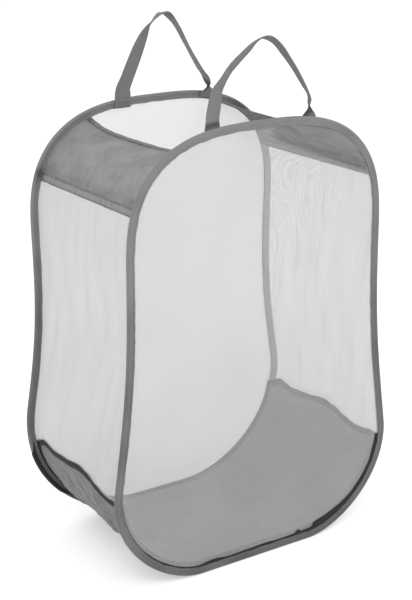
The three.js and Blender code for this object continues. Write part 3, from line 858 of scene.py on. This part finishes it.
def shoulder_creases(side):
    """Slanting creases of a shoulder, by share of its height (run) and by depth y."""
    def extra(run, y):
        up = (run - UPPER_SEAM) / (MOUTH_EDGE - UPPER_SEAM) * 100 * 1.1
        soft = 1.1 * ripple(up, y, 71 + side, 46, 1.5) + 0.12 * ripple(up, y, 81 + side, 14)
        held = smooth((run - UPPER_SEAM) / 14) * smooth((MOUTH_EDGE - run) / 14)
        return (soft + creases(up, y, SHOULDER_CREASES)) * held
    return extra


def gathered(run, y):
    """The net's threads crowd together where a fold turns away and along both seams."""
    near = np.minimum(run - LOWER_SEAM, UPPER_SEAM - run)
    lines = ripple(y + 0.12 * run, run, 91, 17, 12)
    return 0.3 * hump(near, 6) + 0.08 * np.clip(lines, 0, 1.8)


def shoulder_dim(side):
    """Cloud-like unevenness of a shoulder, with painted shade close to its two seams. The right
    one, whose inside is in view and in shadow, gets more painted shade, most low down, and faint
    slanting streaks of it."""
    def dim(run, y):
        near = np.minimum(run - UPPER_SEAM, MOUTH_EDGE - run)
        cloud = ripple(run, y, 95, 40, 1.4) * 0.05 + 0.04 * ripple(run, y, 96, 12)
        low = smooth((UPPER_SEAM + 46 - run) / 40)
        streaks = 0.3 + 0.14 * low + 0.05 * ripple(run - 0.3 * y, y, 97, 26, 4) if side > 0 else 0
        return np.clip(0.05 + cloud + streaks + 0.18 * hump(near - 6, 9), 0, 0.9)
    return dim


SIDES = {"left": -1, "right": 1}
for name, side in SIDES.items():
    thing, points = strip(
        f"{name}_side_net", side, LOWER_SEAM + 0.3, UPPER_SEAM - 1.1, 150, 90, WEB_INSET + 0.4,
        0.15, nets["side"], upright_folds(side), gather=gathered,
    )
    sew_in(thing, f"{name}_side_mesh")
    thing, points = strip(
        f"{name}_shoulder_cloth", side, UPPER_SEAM + 0.3, MOUTH_EDGE - 1.1, 70, 110, WEB_INSET, 0.9,
        oxford, shoulder_creases(side), dim=shoulder_dim(side),
    )
    sew_in(thing, f"{name}_shoulder_panel", short=1.3)

# %% [markdown]
# ## The base
#
# The base is one cloth under the whole hamper and up both sides. It billows down from the hoops
# until it lies on the floor, so its level is never below zero.

# %% Base
BASE_INSET, BILLOW, BASE_TAPE_END = 9.7, 12.8, 8.05
CROWDING = 0.86
# Creases of the base: both ends by run and depth, the width and the height.
BASE_CREASES = [
    (-290, -60, -150, -20, 6, 2.2), (-270, 40, -180, 70, 5, -1.8), (-230, -95, -190, 60, 6, 1.6),
    (-120, -90, -60, 60, 5, 1.5), (20, -80, 120, -30, 5, -1.6), (60, 80, 200, 30, 6, 1.8),
    (180, -90, 280, -40, 6, -1.8), (220, 20, 290, 80, 5, 1.6), (-40, 30, 60, 90, 5, 1.2),
]


def base_points(run, y, inset):
    """The strip's own place, let down by the billow between the hoops and kept off the floor."""
    share = np.clip((y + HALF_DEPTH - BASE_TAPE_END) / (2 * HALF_DEPTH - 2 * BASE_TAPE_END), 0, 1)
    across = np.minimum(1, 1.25 * (1 - np.abs(2 * share - 1) ** 6))
    size = np.abs(run)
    down = (1 - smooth((size - FLAT_END) / (LOWER_SEAM - 7 - FLAT_END))) ** 2
    rough = 1.3 * ripple(run, y, 101, 48, 1.2) + 0.5 * ripple(run, y, 102, 16)
    edge = np.clip((LOWER_SEAM - 4 - size) / 25, 0, 1)
    extra = (rough + creases(run, y, BASE_CREASES)) * edge
    points = cloth(run, y, inset - BILLOW * across * down, extra * np.clip(across * 2, 0, 1))
    lift = np.maximum(0.2 + 0.9 * np.maximum(rough, 0) * down, 0)
    points[..., 2] = np.maximum(points[..., 2], np.where(across > 0.3, lift, 0.2))
    return points


end = LOWER_SEAM - 1.1
edge = HALF_DEPTH - LIP_INNER - 0.3
run = np.linspace(-end, end, 240)[:, None]
y = np.sin(np.linspace(-1, 1, 111) * np.pi / 2 * CROWDING) / math.sin(np.pi / 2 * CROWDING) * edge
points = base_points(run, y, BASE_INSET)
# Painted shade along the left side where the cloth turns under, and a faint uneven tone.
underside_shade = 0.45 * smooth((210 + run) / 45) * smooth((-130 - run) / 20) + 0.05 * ripple(run, y, 103, 30)
base = make_mesh("base_cloth", [part(points, dim=np.clip(underside_shade + 0.04, 0, 1))], shaded_base_oxford, 0.9)
sew_in(base, "base_panel")

# %% [markdown]
# ## Seam and hem tapes
#
# A cut edge is bound by a narrow tape folded over it. Its section is a U whose closed end is the
# edge. The seam under each shoulder is sewn twice, the hems once.

# %% Tapes across the strip
def edge_tape(name, side, edge_run, height, inset, thickness, material, node, start, lines, dims):
    """The U: down the outer leg, round the edge in a half circle and down the inner leg. Each point
    of the U has a run and an inset, and follows the hanging cloth from hoop to hoop. dims are how
    dark the tape is all over, and its painted shade at its folded edge and along its open edge; the
    open edge's share, doubled, also shades its back end, where it meets the back hoop."""
    gap = thickness / 2 + 0.5
    middle = inset + thickness / 2
    leg = edge_run - height + np.linspace(0, 1, 7)[:-1] * (height - gap)
    turn = np.linspace(-np.pi / 2, np.pi / 2, 7)
    run = np.concatenate([leg, edge_run - gap + gap * np.cos(turn), leg[::-1]])
    depth = np.concatenate([
        np.full(6, middle - gap), middle + gap * np.sin(turn), np.full(6, middle + gap),
    ])
    reach = HALF_DEPTH - start
    y = np.linspace(-reach, reach, 130)[:, None]
    wobble = 0.25 * ripple(y, 0, 111 + side, 12)
    soft = 0.15 * ripple(y, 0, 121 + side, 34)
    points = cloth(side * (run + wobble), y, depth, soft)
    centre = cloth(side * (edge_run - height / 2), y, middle, soft)
    from_edge = edge_run - run
    # Painted shade at the folded edge, along the open edge and at the back end by the back hoop,
    # with a faint uneven tone.
    dim = dims[0] + dims[1] * hump(from_edge - 1, 1.6) + 0.07 * ripple(y, run, 141 + side, 8, 6)
    dim = dim + dims[2] * hump(from_edge - height + 1, 1.5) + 2 * dims[2] * hump(y - 117, 5)
    thing = make_mesh(name, [part(points, centre, dim=np.clip(dim, 0, 1))], material, 0.6, 0)
    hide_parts(node)
    rows = []
    for share in lines:
        for face in (-1, 1):
            at = np.full(len(y), edge_run - height * share)
            line, deeper = (
                cloth(side * at, y[:, 0], middle + face * (gap + out), soft[:, 0])
                for out in (0.35, 1.35)
            )
            rows.append((line, deeper - line, 2.8))
    sewn = make_stitches(f"{name}_stitches", rows, dark_thread, 0.6)
    squash_along(thing, sewn, short=1.9)


for name, side in SIDES.items():
    # The right seam band, whose inside is in view, is darker all over: painted shade.
    edge_tape(f"{name}_seam_band", side, UPPER_SEAM, 12, WEB_INSET, 0.8, seam_tape_finish,
              f"{name}_seam_tape", CLOTH_START, (0.14, 0.9), (0.4 + 0.4 * side, 0.4, 0.35))
    edge_tape(f"{name}_mouth_hem", side, MOUTH_EDGE, 8, WEB_INSET, 1.0, binding_tape,
              f"{name}_mouth_tape", CLOTH_START, (0.82,), (0.22, 0.2, 0.2))
    edge_tape(f"base_{name}_band", side, LOWER_SEAM, 9.5, BASE_INSET, 1.0, black_tape,
              f"base_{name}_tape", BASE_TAPE_END + 0.3, (0.75,), (0, 0, 0))

# %% Black tape along the base's long edges
# How far the front one's free edge shows, by run, and the radius of the pulled-out back corner.
# Where it shows widest, this black strip is painted shade.
SHOWN = [
    (-320, 3.0), (-240, 3.4), (-150, 4.4), (-110, 4.4), (-70, 7.4), (-50, 4.6), (-20, 5.4),
    (20, 6.2), (34, 5.0), (66, 5.6), (73, 10.5), (80, 6.4), (98, 7.4), (106, 13.8), (130, 13.2),
    (150, 12.2), (166, 10.6), (190, 9.2), (220, 8.4), (250, 7.6), (262, 8.8), (320, 7.4),
]
PULLED = 3.6


def hoop_side_band(hoop, sign):
    """Two legs hold the base's edge, one over it and one under it. The outer leg turns up into the
    hoop's own tape. The section is in (distance from the hoop's plane, inset). A third strip is the
    tape's free edge. At the front it shows past the hoop's tape by an uneven width, read off the
    picture; at the back left corner it has been pulled out round the hoop. This black strip is
    partly painted shade: where it shows widest it stands in for shadow along the hoops' lower
    edges."""
    wave = along(SEAM_WAVE, np.array(0.0 if sign < 0 else 1.0))
    end = LOWER_SEAM - 0.3 + float(wave)
    run = np.linspace(-end, end, 200)[:, None]
    turn = np.linspace(0, np.pi / 2, 5)
    corner = [(0.55 + 0.9 * (1 - math.cos(t)), 8.1 + 0.9 * math.sin(t)) for t in turn]
    outer = np.array([(0.55, 2.8), (0.55, 5.5), *corner, (3.5, 9.0), (6.0, 9.0), (8.05, 9.0)])
    inner = np.array([
        (1.0, 9.6), (1.0, 11.4), (1.05, 13.0), (1.5, 14.1),
        (2.6, 14.6), (4.4, 14.2), (6.4, 12.8), (8.05, 11.4),
    ])
    parts = []
    for section in (outer, inner):
        away, inset = section.T
        y = sign * (HALF_DEPTH - away)
        wobble = 0.3 * ripple(run, 0, 131 + sign, 15) * smooth((away - 4) / 4)
        parts.append(part(place(run, y - sign * wobble, inset)))
    if sign < 0:
        reach = along(SHOWN, run)
        far = 5.6 + reach * np.linspace(0, 1, 6)
        out = np.array([-1.0, -1.05, -1.15, -1.3, -1.4, -1.2])
    else:
        run = np.linspace(-290, -160, 60)[:, None]
        turn = np.linspace(0, 2.3, 12)
        reach = 0.1 + 0.9 * smooth((290 + run) / 22) * smooth((-160 - run) / 30)
        out = np.concatenate([np.full(4, -PULLED), -PULLED * np.cos(turn)])
        far = 2.5 - reach * (2.5 - np.concatenate([[2, 1.5, 1, 0.5], -PULLED * np.sin(turn)]))
        out = -PULLED + reach * (out + PULLED)
    rim = part(place(run, sign * HALF_DEPTH, far))
    rim["points"][..., 1] = sign * HALF_DEPTH + out
    parts.append(rim)
    thing = make_mesh(f"base_{hoop}_band", parts, black_tape, 0.6, 0)
    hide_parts(f"base_{hoop}_tape")
    run = np.linspace(-end + 2, end - 2, 500)
    line = place(run, sign * (HALF_DEPTH - 6.4), 13.15)
    up = place(run, sign * (HALF_DEPTH - 6.4), 14.15) - line
    sewn = make_stitches(f"base_{hoop}_band_stitches", [(line, up, 2.8)], dark_thread)
    squash_along(thing, sewn, hoop=hoop)


for hoop, sign in HOOPS.items():
    hoop_side_band(hoop, sign)

# %% [markdown]
# ## The handles
#
# A handle is one length of webbing, sewn to the mouth's side of the hoop's tape at both ends. It
# twists by half a turn on its way over. Its centre line is a smooth curve through knots, and the
# twist is the curve's third coordinate, so it is as smooth as the path. The real strap bends where
# it leaves the tape; here each foot runs straight down from the loop's end into the tape.

# %% A smooth curve through knots
STRAP_WIDTH, STRAP_THICK = 25.0, 1.5
WIRE_TOP = WIRE_LEVEL + HOOP_HEIGHT
FOLD_LEVEL = WIRE_TOP + 8.5
STRAP_DEPTH = HALF_DEPTH - ROUND - 0.3 - 0.8
FOOT_END = -19.3
# How much painted shade the left feet get; the right feet get it in full.
LEFT_FOOT_SHADE = {"front": 0.65, "back": 0.1}


def through(knots, count):
    """A centripetal Catmull-Rom curve: between two knots it is the cubic whose end slopes come from
    the neighbours, with steps as the square root of the distances. Returned at even lengths."""
    p = np.concatenate([[2 * knots[0] - knots[1]], knots, [2 * knots[-1] - knots[-2]]])
    step = np.maximum(np.linalg.norm(np.diff(p, axis=0), axis=1) ** 0.5, 1e-4)[:, None]
    d0, d1, d2 = step[:-2], step[1:-1], step[2:]
    p0, p1, p2, p3 = p[:-3], p[1:-2], p[2:-1], p[3:]
    m1 = d1 * ((p1 - p0) / d0 - (p2 - p0) / (d0 + d1) + (p2 - p1) / d1)
    m2 = d1 * ((p2 - p1) / d1 - (p3 - p1) / (d1 + d2) + (p3 - p2) / d2)
    t = np.linspace(0, 1, 80, endpoint=False)[None, :, None]
    c1, c2 = p1[:, None], p2[:, None]
    m1, m2 = m1[:, None], m2[:, None]
    curve = (
        (2 * t**3 - 3 * t**2 + 1) * c1 + (t**3 - 2 * t**2 + t) * m1
        + (3 * t**2 - 2 * t**3) * c2 + (t**3 - t**2) * m2
    ).reshape(-1, 3)
    curve = np.concatenate([curve, knots[-1:]])
    run = line_lengths(curve)
    even = np.linspace(0, run[-1], count)
    return np.stack([np.interp(even, run, curve[:, k]) for k in range(3)], -1)


# %% Straps
# Where a loop's middle stands, half its span and its rise, then its knots: shares of the span and
# the rise, and the twist in quarter turns.
LOOPS = {
    "front": (4.0, 77.0, 97.0, [
        (-1, -0.15, 0), (-1, -0.1, 0.06), (-1, -0.05, 0.12), (-1, 0, 0.15), (-0.99, 0.08, 0.15),
        (-0.96, 0.2, 0.16), (-0.92, 0.35, 0.24), (-0.8, 0.49, 0.39), (-0.65, 0.64, 0.44),
        (-0.45, 0.77, 0.48), (-0.2, 0.91, 0.55), (0.04, 1, 0.83), (0.29, 0.91, 1.04),
        (0.52, 0.71, 1.12), (0.7, 0.53, 1.17), (0.92, 0.27, 1.24), (1.01, 0.14, 1.33),
        (1, 0.05, 1.4), (1, 0, 1.52), (1, -0.055, 1.72), (1, -0.11, 1.95), (1, -0.15, 2),
    ]),
    "back": (14.0, 71.0, 105.0, [
        (-1, 0, 0), (-0.985, 0.07, 0.1), (-0.92, 0.16, 0.16), (-0.82, 0.3, 0.18),
        (-0.71, 0.45, 0.2), (-0.6, 0.6, 0.26), (-0.47, 0.75, 0.4), (-0.3, 0.89, 0.68),
        (-0.045, 1, 0.9), (0.21, 0.86, 1.1), (0.52, 0.53, 1.18), (0.83, 0.21, 1.13),
        (0.95, 0.11, 1.11), (0.99, 0.04, 1.15), (1, 0, 1.24), (1, -0.055, 1.55), (1, -0.11, 1.9),
        (1, -0.14, 2),
    ]),
}


def strap(hoop, sign):
    """The width vector turns about the path by the twist angle: cos times the sideways direction in
    the hoop's plane plus sin times the depth direction. The feet carry painted shade: dark up to a
    reach from a level near the fold, the right feet more and higher than the left ones."""
    shift, span, rise, shares = LOOPS[hoop]
    quarter = math.pi / 2 * STRAP_WIDTH
    knots = np.array([(shift + span * a, rise * b, c * quarter) for a, b, c in shares])
    loop = through(knots, 260)
    ends = []
    for end in (loop[0], loop[-1]):
        down = np.linspace(FOOT_END, end[1], 12, endpoint=False)[:, None]
        ends.append(np.concatenate([end[0] + 0 * down, down, end[2] + 0 * down], 1))
    path = np.concatenate([ends[0], loop, ends[1][::-1]])
    ahead = np.gradient(path[:, :2], axis=0)
    ahead /= np.linalg.norm(ahead, axis=1, keepdims=True)
    angle = path[:, 2] / STRAP_WIDTH
    wide = np.stack([ahead[:, 1] * np.cos(angle), np.sin(angle), -ahead[:, 0] * np.cos(angle)], -1)
    y = sign * STRAP_DEPTH
    centre = np.stack([path[:, 0], np.full(len(path), y), FOLD_LEVEL + path[:, 1]], -1)
    share = np.linspace(-1, 1, 13)
    points = centre[:, None] + wide[:, None] * (share * STRAP_WIDTH / 2)[None, :, None]
    thin = np.cross(np.stack([ahead[:, 0], 0 * angle, ahead[:, 1]], -1), wide)
    # Painted shade on the feet, near where the strap goes into the tape.
    right_end = path[:, 0] > shift
    level, reach = np.where(right_end, -0.5, -4.5), np.where(right_end, 7.5, 3.4)
    foot_shade = np.where(right_end, 1, LEFT_FOOT_SHADE[hoop])
    foot_shade = foot_shade * np.exp(-(((path[:, 1] - level) / reach) ** 4))
    band = part(points, points - thin[:, None], dim=foot_shade[:, None])
    thing = make_mesh(f"{hoop}_handle_strap", [band], webbing, STRAP_THICK, 0)
    soften = thing.modifiers.new("soft_edges", "BEVEL")
    soften.width, soften.segments, soften.limit_method = 0.45 * MM, 2, "ANGLE"
    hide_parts(f"{hoop}_handle_loop", f"{hoop}_handle_left_end", f"{hoop}_handle_right_end")
    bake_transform(thing)
    box_stitch(hoop, [shift - span, shift + span], y)


def box_stitch(hoop, centres, y):
    """A box with a cross in it, on both faces of each sewn end, in dark thread."""
    rows = []
    corners = np.array([(-9.5, 599.4), (9.5, 599.4), (9.5, 606.6), (-9.5, 606.6)])
    t = np.linspace(0, 1, 12)[:, None]
    for x in centres:
        for face in (-1, 1):
            for a, b in [(0, 1), (1, 2), (2, 3), (3, 0), (0, 2), (1, 3)]:
                line = corners[a] * (1 - t) + corners[b] * t
                points = np.stack([x + line[:, 0], np.full(12, y + face * 0.85), line[:, 1]], -1)
                rows.append((points, np.tile([0.0, face, 0.0], (12, 1)), 1.9))
    sewn = make_stitches(f"{hoop}_handle_stitches", rows, dark_thread, 0.7)
    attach(sewn, f"{hoop}_frame")


for hoop, sign in HOOPS.items():
    strap(hoop, sign)
